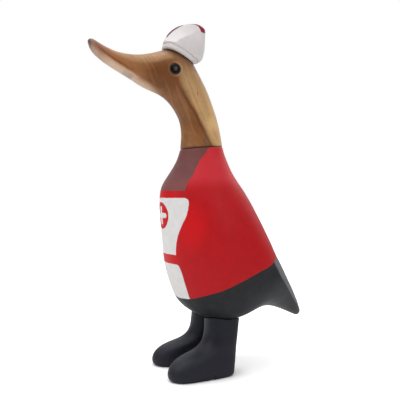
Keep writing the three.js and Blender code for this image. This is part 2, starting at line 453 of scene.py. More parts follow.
def rasp(piece, places):
    """Moves the skin a little near each (back, height) place, fading out at its reach."""
    for point in piece.data.vertices:
        start = point.co / MM
        for back, height, reach, backward, upward in places:
            near = max(0.0, 1 - ((start.y - back) ** 2 + (start.z - height) ** 2) / reach ** 2) ** 2
            point.co += near * MM * Vector((0, backward, upward))


def check_skin(piece):
    """Stops the work where a piece's skin came out too coarse."""
    if len(piece.data.polygons) < LEAST_FACES:
        raise RuntimeError(piece.name + " has too coarse a skin")


def ride_and_finish(piece, material, slot, *nodes):
    piece.data.materials.clear()
    piece.data.materials.append(material)
    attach(piece, "root")
    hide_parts(*nodes)


# Painted body

# Outlines of the clothes: the bib's and skirt's sides as (height, half width), the coat's front as
# (height, back) and its hem as (back, height)
APRON_SIDE = [
    (117, 20.5), (122, 20.5), (128, 21.1), (133, 22.2), (139, 24.0), (144.5, 26.2), (150.5, 28.6),
    (155, 29.9), (160, 30.8), (166.5, 31.0), (170.5, 30.5), (172.4, 29.2), (173.4, 27.0),
]
SKIRT_SIDE = [(70, 23.4), (77, 23.8), (87, 24.2), (99, 23.6), (105, 22.9), (108, 21.8), (109.4, 19.0)]
COAT_FRONT = [
    (178, -26.4), (182, -26.0), (187, -24.3), (195.5, -18.2), (205.5, -12.0), (213, -6.6), (219, -1.8),
    (226, 3.6),
]
COAT_HEM = [
    (-46, 70.6), (-25, 74.6), (-14.5, 78.6), (-5, 82.4), (11, 88.3), (26, 94.8), (43, 101.0), (58, 106.2),
    (68, 111.2), (84, 118.0),
]

# Heights of the clothes' level edges, and how far before the middle the apron begins, in mm
THROAT_FOOT = 180.2
BIB_TOP = 173.3
BIB_FOOT = 118.4
SKIRT_TOP = 109.3
APRON_AHEAD = 8.0

# The round badge on the bib and the plus sign in it, in mm
BADGE_HEIGHT = 155.9
BADGE_RADIUS = 13.4
BADGE_SQUEEZE = 0.96
PLUS_REACH = (8.2, 6.9)
PLUS_HALF_WIDTH = 2.5

# The corner along the tail's flat back: (height, back) and (height, half width)
TAIL_CORNER_BACK = [
    (50, 113), (57.9, 105.5), (67.6, 95.5), (79.1, 84.6), (89.5, 76.0), (97.1, 70.4), (105.1, 66.0),
    (113.4, 62.0), (122, 59.0), (134, 56.0),
]
TAIL_CORNER_SIDE = [(50, 1), (57.9, 5), (67.6, 12), (79, 18), (89.5, 22), (100, 24), (134, 25)]

# The painted light on the flanks, a brighter red where the front light falls on the belly's bulge: its
# middle as (back, height), how far it is full and gone, and its squeeze
FLANK_LIGHT = (-22.0, 146.0)
FLANK_LIGHT_FADE = (6.0, 32.0)
FLANK_LIGHT_SQUEEZE = (1.8, 1.0)

# Where the paint changes: start and end in mm, then the strength at both where it isn't 0 and 1
# The first is a painted sheen over the shoulders
SHOULDER_SHEEN_FADE = (180.0, 194.0, 0.0, 0.6)
# Painted light on the front of the breast
BREAST_LIGHT_FADE = (-27.0, -36.0, 0.0, 0.75)
THROAT_FADE = (198.0, 184.0)
# Painted sheen on the trousers: lighter towards the tail, and lighter still low under the hindquarters
# where the floor's light is reflected
TAIL_END_SHEEN_FADE = (45.0, 90.0, 0.0, 0.85)
RUMP_SHEEN_TOP = (84.0, 74.0, 0.0, 0.8)
RUMP_SHEEN_FRONT = (26.0, 44.0)
RUMP_SHEEN_BACK = (66.0, 54.0)
# Where the painted sheen on the tail's flat back begins
FLAT_BACK_FADE = (-0.5, 1.0)
FLAT_SIDE_FADE = (-18.0, 2.0, 0.3, 1.0)

# The same for patches that follow the dabs and strokes of the brush, from 0 to 1
TAIL_SHEEN_PATCHES = (0.2, 0.6, 0.5, 0.8)
DRY_STREAKS = (0.62, 0.85, 0.0, 0.10)

# Heights of the creased neck joint and the tail's top, and where the tail begins, in metres
NECK_JOINT = 0.22
TAIL_EDGE = 0.045
TAIL_EDGE_TOP = 0.15

# There, edges sharper than so many degrees are creased so firmly
JOINT_CREASE = (60, 0.85)
TAIL_CREASE = (19, 0.6)


def brushed_paint(brush, at):
    """Brush strokes, dabs, and the relief of both over lightly uneven carving."""
    at.strokes = brush.noise(brush.scaled(at.place, (1.0, 1.0, 0.16)), 0.9, 3.0, 0.6)
    at.dabs = brush.noise(at.place, 7.0, 3.0, 0.55)
    relief = brush.bump(at.dabs, 0.1, brush.bump(at.strokes, 0.04))
    return brush.bump(brush.noise(at.place, 26.0, 1.0), 0.9, relief)


def coat_red(brush, paint, at):
    # Painted light: a brighter red where the front light falls on the flanks and breast
    flank = brush.spot(at, FLANK_LIGHT, *FLANK_LIGHT_FADE, FLANK_LIGHT_SQUEEZE)
    return brush.lay(
        brush.mottled(at.dabs, paint.coat, 0.95, 1.04, 0.75),
        # painted sheen over the shoulders
        (brush.ease(at.height, *SHOULDER_SHEEN_FADE), paint.shoulder),
        (brush.math("MAXIMUM", flank, brush.ease(at.back, *BREAST_LIGHT_FADE)), paint.flank),
    )


def throat_brown(brush, paint, at):
    brown = brush.mottled(at.dabs, paint.throat, 0.88)
    return brush.mix(brush.ease(at.height, *THROAT_FADE), brown, times(1.18, paint.throat))


def trouser_grey(brush, paint, at):
    """Charcoal with painted sheen: lighter towards the tail, and lighter still low under the hindquarters
    as a painted reflection of the floor.
    """
    # Painted sheen low under the hindquarters, standing for the floor's reflected light
    rump_sheen = brush.both(brush.ease(at.height, *RUMP_SHEEN_TOP), brush.within(at.back, RUMP_SHEEN_FRONT, RUMP_SHEEN_BACK))
    return brush.lay(
        brush.mottled(at.dabs, paint.trousers, 0.85, 1.15),
        (brush.ease(at.back, *TAIL_END_SHEEN_FADE), times(1.5, paint.trousers)),
        (rump_sheen, times(1.9, paint.trousers)),
    )


def apron_outlines(brush, at, side):
    """Masks of the bib and of the skirt."""
    ahead = brush.above(brush.both(at.back, -1.0), APRON_AHEAD, 1.0)
    bib = brush.both(
        brush.above(brush.track(at.height, APRON_SIDE), side),
        brush.above(at.height, BIB_FOOT),
        brush.above(BIB_TOP, at.height),
        ahead,
    )
    skirt = brush.both(
        brush.above(brush.track(at.height, SKIRT_SIDE), side), brush.above(SKIRT_TOP, at.height), ahead
    )
    return bib, skirt


def badge_outlines(brush, at):
    """Masks of the round badge and of the plus sign with rounded arm ends in it."""
    across = brush.both(at.lateral, BADGE_SQUEEZE)
    up = brush.minus(at.height, BADGE_HEIGHT)
    ahead = brush.above(brush.both(at.back, -1.0), APRON_AHEAD, 1.0)
    disc = brush.both(brush.above(BADGE_RADIUS, brush.diagonal(across, up)), ahead)
    arms = []
    for along, aside, reach in zip((across, up), (up, across), PLUS_REACH):
        past_end = brush.math("MAXIMUM", brush.minus(brush.math("ABSOLUTE", along), reach), 0.0)
        arms.append(brush.above(PLUS_HALF_WIDTH, brush.diagonal(past_end, aside)))
    return disc, brush.both(disc, brush.math("MAXIMUM", *arms))


def tail_sheen_mask(brush, at, side):
    """Mask of the painted sheen on the tail's flat back."""
    past_corner = brush.minus(at.back, brush.track(at.height, TAIL_CORNER_BACK))
    to_side = brush.minus(side, brush.track(at.height, TAIL_CORNER_SIDE))
    return brush.both(
        brush.ease(past_corner, *FLAT_BACK_FADE), brush.ease(to_side, *FLAT_SIDE_FADE),
        brush.ease(at.dabs, *TAIL_SHEEN_PATCHES),
    )


def body_paint():
    """Coat, throat, apron, badge and trousers, painted up to each other by hand."""
    paint = bpy.context.scene.duck_paint
    brush = Brush("duck_body_paint")
    smooth = brush.parts(brush.place())
    relief = brushed_paint(brush, smooth)
    at = brush.parts(brush.wobble(brush.wobble(smooth.place, 22.0, 0.5), 3.0, 0.12))
    at.strokes, at.dabs = smooth.strokes, smooth.dabs
    side = brush.math("ABSOLUTE", at.lateral)
    throat = brush.both(
        brush.above(brush.track(at.height, COAT_FRONT), at.back), brush.above(at.height, THROAT_FOOT, 0.5)
    )
    bib, skirt = apron_outlines(brush, at, side)
    disc, plus = badge_outlines(brush, at)
    trousers = brush.above(brush.track(at.back, COAT_HEM), at.height, 0.5)
    red = coat_red(brush, paint, at)
    white = brush.mottled(at.dabs, paint.apron, 0.93)
    colour = brush.lay(
        red,
        (throat, throat_brown(brush, paint, at)),
        (bib, white),
        (disc, red),
        (plus, white),
        (skirt, white),
        (trousers, trouser_grey(brush, paint, at)),
        # painted sheen along the tail's flat back
        (brush.both(tail_sheen_mask(brush, at, side), trousers), paint.faded),
        (brush.ease(at.strokes, *DRY_STREAKS), paint.streaks),
    )
    brushed = brush.ease(at.strokes, 0.25, 0.8, paint.roughness - 0.05, paint.roughness + 0.08)
    chalky = brush.both(brush.math("MAXIMUM", bib, skirt), 0.08)
    return brush.finish(colour, brush.math("ADD", brushed, chalky), specular=0.2, relief=relief)


class DUCK_OT_paint_body(bpy.types.Operator):
    """Smooth the carved body and paint its coat, apron and trousers"""
    bl_idname = "duck.paint_body"
    bl_label = "Paint the body"

    def execute(self, context):
        piece = copy_of_node("body", "body_painted")
        keep_crisp(piece, *JOINT_CREASE, lambda place: place.z > NECK_JOINT)
        keep_crisp(piece, *TAIL_CREASE, lambda place: place.y > TAIL_EDGE and place.z < TAIL_EDGE_TOP)
        subdivide(piece, context.scene.duck_form.body_levels)
        rasp(piece, RASPED)
        smooth_shade(piece)
        check_skin(piece)
        ride_and_finish(piece, body_paint(), "body_paint", "body")
        return {"FINISHED"}


# Wooden head

# A (back, height) on the plane that the cap sits on, its lean, the tilt of the wood's fibres, and how
# far above its joint the neck's edge is kept crisp
CAP_SEAT = (-20.0, 310.2)
CAP_LEAN = math.radians(26)
FIBRE_TILT = math.radians(-24.2)
NECK_FOOT = 10 * MM

# The line between heartwood and sapwood, as (along, ring) in the block of wood
GROWTH_LINE = [
    (196, 96.6), (201, 95.4), (206, 94.5), (216, 94.3), (227, 94.0), (239, 93.3), (249, 92.0),
    (261, 90.6), (270, 90.0), (280, 91.2), (290, 94.0), (305, 98.5),
]

# The bill's lower edge and its top, as (back, height)
BILL_EDGE = [
    (-114, 323), (-110.8, 318.4), (-108.6, 315.6), (-106.7, 313.8), (-104.2, 311.0), (-97.0, 305.4),
    (-89.5, 300.5), (-81.9, 296.5), (-78.1, 294.3), (-74.3, 292.6), (-70.3, 290.3), (-64.2, 286.8),
    (-58.2, 283.9), (-52.1, 281.0), (-47.9, 279.2),
]
BILL_RIDGE = [
    (-114, 325), (-104, 317.5), (-97, 313.0), (-89.7, 309.6), (-80.7, 305.8), (-71.4, 303.0),
    (-62, 302.4), (-52.4, 303.8), (-44.6, 305.8), (-39.5, 307.2), (-30, 309.5),
]

# The grain: how each direction of the block is scaled, then blotch size, detail, roughness and distortion
GRAIN_MAPS = {
    "figure": ((0.3, 1.0, 0.05), 2.6, 2.0, 0.55, 0.4),
    "broad": ((0.35, 1.0, 0.10), 7.5, 2.0, 0.5, 0.3),
    "fibres": ((1.0, 1.0, 0.07), 0.7, 3.0, 0.65),
    "dashes": ((1.0, 1.0, 0.22), 0.85, 1.0),
}

# Streaks: the grain they follow, where they start and are full, their strength, colour and shade
GRAIN_STREAKS = (
    ("figure", 0.52, 0.74, 0.38, "heart", 0.55),
    ("figure", 0.46, 0.3, 0.1, "sap", 1.0),
    ("fibres", 0.52, 0.78, 0.3, "ring", 1.0),
    ("fibres", 0.46, 0.24, 0.14, "sap", 1.0),
    ("dashes", 0.66, 0.76, 0.45, "ring", 1.0),
)

# Spots on the side of the head: the middle as (back, height), and how far each is full and gone
CHEEK = (-43.0, 291.0)
CHEEK_FADE = (8.0, 30.0)
HONEY = (6.0, 246.0)
HONEY_FADE = (2.0, 11.0)
KNOT = (-10.0, 275.4)
KNOT_FADE = (0.8, 3.2)
STAIN = (-77.0, 290.4)
STAIN_FADE = (3.2, 6.8)

# Where the wood changes: start and end in mm, then the strength at both where it isn't 0 and 1
BILL_FADE = (-52.0, -86.0)
RIDGE_LIGHT_FADE = (-2.6, 1.6)
RIDGE_LIGHT_END = (-26.0, -38.0)
HIGH_SAP_FADE = (232.0, 288.0, 0.0, 0.62)
SAP_FADE = (-0.3, 5.9)
# Partly painted shade under the cap and partly darker wood: the pale sapwood gives way towards the crown
CROWN_SHADE_AND_WOOD_FADE = (270.0, 292.0, 1.0, 0.2)
NECK_TOP = (284.0, 266.0)
NECK_BOTTOM = (202.0, 232.0, 0.45, 1.0)
LINE_TOP = (272.0, 260.0)
BILL_END_FADE = (-98.0, -111.0, 0.0, 0.4)
TIP_FADE = (-109.5, -113.0, 0.0, 0.8)
# Painted shadow below the cap, with some glue dirt
SEAT_SHADOW_EDGE = (-1.6, 0.4, 0.0, 0.85)
SEAT_SHADOW_FADE = (-9.0, -1.0, 0.0, 0.6)
JOINT_FADE = (2.2, 0.5, 0.0, 0.65)

# The same by the distance behind the growth line: the darker wood ahead of it, and the line
AHEAD_OF_LINE = ((-15.0, -3.0), (2.6, 0.6))
ON_LINE = ((-2.0, -0.4), (2.2, 0.2))

# The same for patches that follow the clouds and grain in the wood, from 0 to 1
AMBER_PATCHES = (0.5, 0.75, 0.0, 0.5)
AHEAD_PATCHES = (0.25, 0.75, 0.3, 0.6)
LINE_PATCHES = (0.2, 0.7, 0.85, 0.6)

# Along the bill's lower edge, with the paler underside and its greyer rim painted as reflection of the
# pale floor: fades by the height above that edge, then by the place back
CRISP_UNDER_REFLECTION = ((0.8, -1.6), (-58.0, -72.0))
FAINT_UNDER_REFLECTION = ((1.6, -3.6), (-40.0, -58.0))
BLUSH = ((-7.0, -0.5), (-92.0, -105.0))
EDGE_LINE = ((-0.3, 0.8), (-66.0, -84.0))
EDGE_LINE_TOP = (3.4, 1.2)
LOWER_RIM_REFLECTION_FADE = (-3.0, -8.5, 0.0, 0.8)
STAIN_TOP = (-1.0, -3.0)

# The neck's joint: its height in mm where back is 0, and its rise for each mm further back
JOINT_HEIGHT = 223.1
JOINT_SLOPE = 0.0653

# How far past the bead's radius the worn wood and the gap are full and gone, in mm
EYE_HALO = (1.6, 3.6)
EYE_GAP = (0.5, 1.3)

# Where the worn wood begins and is full, in mm behind the bead's middle, and its strength there
HALO_FADE = (-3.0, 4.0, 0.1, 0.5)


def head_maps(brush):
    """Where a point lies on the head and in its block of wood, and the grain there."""
    at = brush.parts(brush.place())
    upright = brush.node("ShaderNodeMapping", {"Vector": at.place, "Rotation": (FIBRE_TILT, 0.0, 0.0)})
    block = brush.wobble(brush.wobble(upright.outputs[0], 38.0, 0.8), 9.0, 0.3)
    _, ring, at.along = brush.split(block)
    at.behind = brush.minus(ring, brush.track(at.along, GROWTH_LINE))
    for name, (scales, *texture) in GRAIN_MAPS.items():
        setattr(at, name, brush.noise(brush.scaled(block, scales), *texture))
    at.clouds = brush.noise(at.place, 11.0, 3.0, 0.55)
    return at


def heartwood(brush, wood, at):
    cheek = brush.spot(at, CHEEK, *CHEEK_FADE, (1.0, 1.25))
    ridge = brush.minus(at.height, brush.track(at.back, BILL_RIDGE))
    # Painted light where the bill's top faces the light from above
    worn = brush.both(brush.ease(ridge, *RIDGE_LIGHT_FADE), brush.ease(at.back, *RIDGE_LIGHT_END), 0.85)
    return brush.lay(
        brush.mottled(at.clouds, wood.heart, 0.88, 1.12),
        (brush.both(cheek, 0.9), wood.cheek),
        (brush.ease(at.back, *BILL_FADE), wood.bill),
        (worn, wood.worn),
    )


def sapwood(brush, wood, at):
    return brush.lay(
        brush.mottled(at.broad, wood.sap, 0.86, 1.08),
        (brush.ease(at.clouds, *AMBER_PATCHES), wood.amber),
        (brush.ease(at.along, *HIGH_SAP_FADE), wood.high_sap),
        (brush.spot(at, HONEY, *HONEY_FADE), wood.honey),
    )


def growth_line(brush, wood, at, colour):
    """The darker heartwood ahead of the growth line, and the line itself."""
    ahead = brush.both(
        brush.within(at.behind, *AHEAD_OF_LINE), brush.within(at.along, NECK_TOP, NECK_BOTTOM),
        brush.ease(at.figure, *AHEAD_PATCHES),
    )
    line = brush.both(
        brush.within(at.behind, *ON_LINE), brush.ease(at.along, *LINE_TOP),
        brush.ease(at.broad, *LINE_PATCHES),
    )
    return brush.lay(colour, (ahead, wood.cheek), (line, wood.ring))


def fine_grain(brush, wood, at, colour):
    for name, start, full, strength, streak, depth in GRAIN_STREAKS:
        mask = brush.ease(getattr(at, name), start, full, 0.0, strength)
        colour = brush.mix(mask, colour, times(depth, getattr(wood, streak)))
    knot = brush.spot(at, KNOT, *KNOT_FADE, (3.2, 1.0))
    return brush.mix(brush.both(knot, 0.7), colour, wood.knot)


def reflected_underside_and_tip(brush, wood, at, colour):
    """The paler wood under the bill and its greyer rim, painted as reflection of the pale floor, then a
    stain and the dark tip.
    """
    rise = brush.minus(at.height, brush.track(at.back, BILL_EDGE))

    def beside_edge(by_rise, by_back):
        return brush.both(brush.ease(rise, *by_rise), brush.ease(at.back, *by_back))

    # The paler underside is a painted reflection of the pale floor
    under = brush.math("MAXIMUM", beside_edge(*CRISP_UNDER_REFLECTION), beside_edge(*FAINT_UNDER_REFLECTION))
    stain = brush.both(brush.spot(at, STAIN, *STAIN_FADE), brush.ease(rise, *STAIN_TOP))
    edge_line = brush.both(beside_edge(*EDGE_LINE), brush.ease(rise, *EDGE_LINE_TOP))
    return brush.lay(
        colour,
        (brush.both(under, 0.92), wood.under),
        (brush.both(under, brush.ease(rise, *LOWER_RIM_REFLECTION_FADE)), wood.lower_rim),
        (brush.both(beside_edge(*BLUSH), 0.8), wood.blush),
        (brush.both(stain, 0.85), wood.stain),
        (brush.both(edge_line, 0.55), wood.cheek),
        (brush.ease(at.back, *BILL_END_FADE), wood.bill_end),
        (brush.ease(at.back, *TIP_FADE), wood.tip),
    )


def cap_shadow_and_dark_joint(brush, wood, at, colour):
    """Painted shadow where the cap sits on the crown, with some glue dirt, and the dark joint where the
    neck meets the coat.
    """
    seat = brush.math("MULTIPLY_ADD", at.clouds, 3.0, above_seat(brush, at))
    joint = brush.minus(at.height, brush.math("MULTIPLY_ADD", at.back, JOINT_SLOPE, JOINT_HEIGHT))
    return brush.lay(
        colour,
        # painted shadow under the cap's edge
        (brush.ease(seat, *SEAT_SHADOW_EDGE), wood.seat),
        (brush.ease(seat, *SEAT_SHADOW_FADE), wood.ring),
        (brush.ease(joint, *JOINT_FADE), times(0.5, wood.ring)),
    )


def eye_ring(brush, wood, at, colour):
    """The rubbed, lighter wood behind each bead and the dark gap round it."""
    middle = eye_place("eye_left")
    radius = bpy.context.scene.duck_eyes.radius / MM
    halo = brush.spot(at, middle, *(radius + reach for reach in EYE_HALO))
    gap = brush.spot(at, middle, *(radius + reach for reach in EYE_GAP))
    behind_bead = brush.minus(at.back, middle[0])
    return brush.lay(
        colour,
        (brush.both(halo, brush.ease(behind_bead, *HALO_FADE)), wood.rubbed),
        (brush.both(gap, 0.96), wood.eye_gap),
    )


def head_wood():
    """Wood cut from one straight block: red-brown heartwood, a dark growth line and tan sapwood."""
    wood = bpy.context.scene.duck_wood
    brush = Brush("duck_head_wood")
    at = head_maps(brush)
    pale = brush.both(brush.ease(at.behind, *SAP_FADE), brush.ease(at.along, *CROWN_SHADE_AND_WOOD_FADE))
    colour = brush.mix(pale, heartwood(brush, wood, at), sapwood(brush, wood, at))
    for wear in (growth_line, fine_grain, reflected_underside_and_tip, cap_shadow_and_dark_joint, eye_ring):
        colour = wear(brush, wood, at, colour)
    relief = brush.bump(at.figure, 0.06, brush.bump(at.fibres, 0.05))
    relief = brush.bump(brush.noise(at.place, 17.0, 1.0), 0.5, relief)
    roughness = brush.ease(at.fibres, 0.3, 0.75, wood.roughness - 0.05, wood.roughness + 0.12)
    return brush.finish(colour, roughness, specular=0.25, relief=relief)


def above_seat(brush, at):
    """Height in millimetres above the leaning plane that the cap sits on."""
    behind = brush.both(brush.minus(at.back, CAP_SEAT[0]), math.sin(CAP_LEAN))
    return brush.math("MULTIPLY_ADD", brush.minus(at.height, CAP_SEAT[1]), math.cos(CAP_LEAN), behind)


# Eye sockets

# How far past the bead's radius the cut socket is cleared, and the widths of the rings that close it
CLEARED = 0.7 * MM
SOCKET_RINGS = (1.92, 1.92, 2.4, 2.8)

# How far from the bead's middle the skin is looked at, measured and laid anew
EYE_REGION = 20 * MM
SKIN_RING = (9.5 * MM, 17 * MM)
REBUILT = 8.6 * MM

# The dip's flat middle and the slope round it, as shares of the bead's radius
DIP_FLAT = 0.6
DIP_SLOPE = 0.55


def eye_middle(node):
    low, high = (Vector(corner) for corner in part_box(node))
    return (low + high) / 2


def eye_place(node):
    """A bead's (back, height) in millimetres."""
    middle = eye_middle(node) / MM
    return middle.y, middle.z


def close_socket(piece, near_bead):
    """Clears the cut socket near the bead and closes it with rings of faces."""
    for part in (*piece.data.polygons, *piece.data.edges):
        part.select = False
    work_on(piece)
    for point in piece.data.vertices:
        point.select = near_bead(point.co)
    bpy.ops.object.mode_set(mode="EDIT")
    bpy.ops.mesh.select_mode(type="VERT")
    bpy.ops.mesh.select_more()
    bpy.ops.mesh.delete(type="FACE")
    bpy.ops.mesh.select_all(action="SELECT")
    bpy.ops.mesh.delete_loose()
    bpy.ops.mesh.select_mode(type="EDGE")
    bpy.ops.mesh.select_all(action="DESELECT")
    bpy.ops.mesh.select_non_manifold(extend=False)
    bpy.ops.mesh.edge_face_add()
    bpy.ops.mesh.select_mode(type="FACE")
    for depth in SOCKET_RINGS:
        bpy.ops.mesh.inset(thickness=depth * MM, use_even_offset=False, use_relative_offset=False)
    bpy.ops.mesh.poke()
    bpy.ops.object.mode_set(mode="OBJECT")


def rebuild_eye_side(piece, node, eyes):
    """Closes the cut socket, lays its faces on the head's own swell, and dips the middle."""
    middle = eye_middle(node)
    outward = math.copysign(1, middle.x)

    def off_axis(place):
        return math.hypot(place.y - middle.y, place.z - middle.z)

    def near(radius):
        return lambda place: place.x * outward > 0 and off_axis(place) < radius

    def terms(y, z):
        return [1, y, z, y * y, z * z, y * z]

    close_socket(piece, near(eyes.radius + CLEARED))
    points = [p.co for p in piece.data.vertices if near(EYE_REGION)(p.co)]
    ring = [co for co in points if SKIN_RING[0] < off_axis(co) < SKIN_RING[1]]
    known = np.array([terms(co.y - middle.y, co.z - middle.z) for co in ring])
    swell, *_ = np.linalg.lstsq(known, np.array([co.x for co in ring]), rcond=None)
    for co in points:
        distance = off_axis(co)
        if distance < REBUILT:
            on_skin = float(np.dot(swell, terms(co.y - middle.y, co.z - middle.z)))
            past_flat = max(0.0, distance - DIP_FLAT * eyes.radius)
            dip = max(0.0, 1 - past_flat / (DIP_SLOPE * eyes.radius))
            co.x = on_skin - outward * eyes.socket_depth * dip ** 2


class DUCK_OT_carve_head(bpy.types.Operator):
    """Smooth the carved head and bill, set its eye sockets and finish its wood"""
    bl_idname = "duck.carve_head"
    bl_label = "Carve the head"

    def execute(self, context):
        piece = copy_of_node("head", "head_carved")
        for node in ("eye_left", "eye_right"):
            rebuild_eye_side(piece, node, context.scene.duck_eyes)
        keep_crisp(piece, *JOINT_CREASE, lambda place: place.z < NECK_JOINT + NECK_FOOT)
        subdivide(piece, context.scene.duck_form.body_levels)
        rasp(piece, RASPED)
        smooth_shade(piece)
        check_skin(piece)
        ride_and_finish(piece, head_wood(), "bare_wood", "head")
        return {"FINISHED"}


# Eyes

BEAD_SIDES = 48
CORE_GLINT_FADE = (0.4, 3.4)
FLATTER_BEHIND = 0.5


def bead_gloss(eyes):
    """Glossy black, paler grey in the middle as a painted highlight."""
    brush = Brush("duck_eye_gloss")
    at = brush.parts(brush.place())
    cloud = brush.noise(at.place, 2.0)
    black = brush.mix(cloud, eyes.dark, eyes.light)
    # painted highlight in the bead's middle
    colour = brush.mix(brush.spot(at, eye_place("eye_left"), *CORE_GLINT_FADE), black, eyes.core)
    return brush.finish(colour, brush.ease(cloud, 0.3, 0.7, 0.24, 0.3), specular=0.06)


class DUCK_OT_set_eyes(bpy.types.Operator):
    """Set a glossy bead in each eye socket"""
    bl_idname = "duck.set_eyes"
    bl_label = "Set the eyes"

    def execute(self, context):
        eyes = context.scene.duck_eyes
        gloss = bead_gloss(eyes)
        for node in ("eye_left", "eye_right"):
            middle = eye_middle(node)
            deselect_all()
            bpy.ops.mesh.primitive_uv_sphere_add(
                segments=BEAD_SIDES, ring_count=BEAD_SIDES // 2, radius=1.0, location=middle
            )
            bead = bpy.context.object
            bead.name = node + "_bead"
            bead.scale = (eyes.bulge, eyes.radius, eyes.radius)
            bpy.ops.object.transform_apply(location=True, rotation=True, scale=True)
            for point in bead.data.vertices:
                inward = abs(middle.x) - abs(point.co.x)
                if inward > 0:
                    point.co.x += math.copysign(FLATTER_BEHIND * inward, middle.x)
            smooth_shade(bead)
            ride_and_finish(bead, gloss, "eye_bead", node)
        return {"FINISHED"}


# Cap

# Half the stripe's width along the cap, as (back, half width)
STRIPE_WIDTH = [
    (-40, 0.0), (-38, 0.2), (-36.6, 2.7), (-33, 2.9), (-28.5, 2.5), (-25, 1.9), (-20.5, 1.1), (-17, 0.1),
    (-14, 0.1), (-11.5, 0.8), (-8, 1.4), (-5, 1.9), (-3.7, 2.5), (-2.6, 3.7), (-1.5, 4.6), (4, 4.6),
]

# The stripe's foot rises between two places back, from one height to another
STRIPE_FOOT = (-20.0, -12.0, 331.4, 339.0)
STRIPE_FRONT = (-8.0, -20.0)

# Heights above the seat where the painted shade in the groove begins and ends, and its patches by the dabs
GROOVE_FOOT = (3.4, 4.2)
GROOVE_TOP = (5.6, 4.6)
GROOVE_SHADE_PATCHES = (0.2, 0.7, 0.1, 0.5)


def cap_paint():
    """Off-white with painted shade along the channel above the band, and a maroon stripe over the ridge.
    """
    paint = bpy.context.scene.duck_paint
    brush = Brush("duck_cap_paint")
    smooth = brush.parts(brush.place())
    relief = brushed_paint(brush, smooth)
    at = brush.parts(brush.wobble(smooth.place, 4.0, 0.25))
    stripe = brush.both(
        brush.above(brush.track(at.back, STRIPE_WIDTH), brush.math("ABSOLUTE", at.lateral), 0.5),
        brush.above(at.height, brush.ease(at.back, *STRIPE_FOOT), 0.6),
    )
    level = above_seat(brush, at)
    # Painted shade in the groove above the band
    groove = brush.both(
        brush.within(level, GROOVE_FOOT, GROOVE_TOP), brush.ease(smooth.dabs, *GROOVE_SHADE_PATCHES)
    )
    maroon = brush.mix(smooth.dabs, times(0.75, paint.stripe), times(1.25, paint.stripe))
    colour = brush.lay(
        brush.mottled(smooth.dabs, paint.cap, 0.94),
        (groove, paint.groove),
        (stripe, brush.mix(brush.ease(at.back, *STRIPE_FRONT), maroon, paint.stripe_front)),
    )
    roughness = brush.ease(smooth.strokes, 0.25, 0.8, 0.5, 0.62)
    return brush.finish(colour, roughness, specular=0.25, relief=relief)


class DUCK_OT_shape_cap(bpy.types.Operator):
    """Rub down the small cap and paint it with its stripe"""
    bl_idname = "duck.shape_cap"
    bl_label = "Shape the cap"

    def execute(self, context):
        piece = copy_of_node("cap", "cap_painted")
        soften(piece, context.scene.duck_form.cap_grain, rounds=2, crisp=17)
        rasp(piece, RIDGE_RAISED)
        check_skin(piece)
        ride_and_finish(piece, cap_paint(), "cap_paint", "cap")
        return {"FINISHED"}


# Boots

# Heights in mm where the foot's painted sheen and the scuffs begin and are full, and the scuffs' patches
FOOT_SHEEN_FADE = (36.0, 26.0)
SCUFF_HEIGHT = (12.0, 2.0)
SCUFF_PATCHES = (0.6, 0.78, 0.0, 0.25)

# The step before the heel: its middle as (back, height), and how far it is full and gone
HEEL_STEP = (-0.6, 2.6)
HEEL_STEP_FADE = (0.7, 1.5)
SOLE_TREAD = 0.35 * MM


def boot_paint():
    """Bluish charcoal, with a paler painted sheen on the foot, and scuffed near the ground."""
    paint = bpy.context.scene.duck_paint
    brush = Brush("duck_boot_paint")
    at = brush.parts(brush.place())
    relief = brushed_paint(brush, at)
    patches = brush.noise(at.place, 3.2, 4.0, 0.65)
    scuffs = brush.both(brush.ease(patches, *SCUFF_PATCHES), brush.ease(at.height, *SCUFF_HEIGHT))
    colour = brush.lay(
        brush.mottled(at.dabs, paint.boots, 0.86, 1.2),
        (brush.ease(at.height, *FOOT_SHEEN_FADE), paint.feet),
        (scuffs, paint.scuffs),
        (brush.spot(at, HEEL_STEP, *HEEL_STEP_FADE, (1.0, 0.45)), paint.heel_step),
    )
    roughness = brush.ease(at.dabs, 0.3, 0.7, 0.44, 0.54)
    return brush.finish(colour, roughness, specular=0.25, relief=relief)


def stand_flat(piece):
    """Brings the sole's lowest points level with the ground."""
    lowest = min(point.co.z for point in piece.data.vertices)
    for point in piece.data.vertices:
        if point.co.z < lowest + SOLE_TREAD:
            point.co.z = 0.0


class DUCK_OT_shape_boots(bpy.types.Operator):
    """Rub down the two boots and paint them"""
    bl_idname = "duck.shape_boots"
    bl_label = "Shape the boots"

    def execute(self, context):
        paint = boot_paint()
        for node in ("boot_left", "boot_right"):
            piece = copy_of_node(node, node + "_painted")
            soften(piece, context.scene.duck_form.boot_grain, rounds=4, crisp=40)
            stand_flat(piece)
            check_skin(piece)
            ride_and_finish(piece, paint, "boot_paint", node)
        return {"FINISHED"}


# Stage

FLOOR_SIZE = 12.0
FLOOR_GREY = ((0.84, 0.84, 0.84), (0.86, 0.86, 0.86))
CONTACT_REACH = 0.02
SENSOR_WIDTH = 36.0
WALL = (-0.93, 0.36, 0.0)
WALL_FADE = (0.2, 0.8)
SKY_FADE = (0.0, 0.9)
DUCK_MIDDLE = Vector((0, 0, 0.18))

# Where each softbox hangs, how wide it is, and its colour
SOFTBOXES = {
    "front": ((0.15, -1.05, 0.75), 0.7, WHITE),
    "high": ((0.55, -0.75, 1.15), 0.5, WHITE),
    "side": ((1.07, 0.44, 0.62), 0.2, WHITE),
    "back": ((-0.5, 1.1, 0.75), 0.7, WHITE),
    "top": ((-0.15, -0.3, 1.5), 0.7, (0.90, 0.94, 1.0)),
}


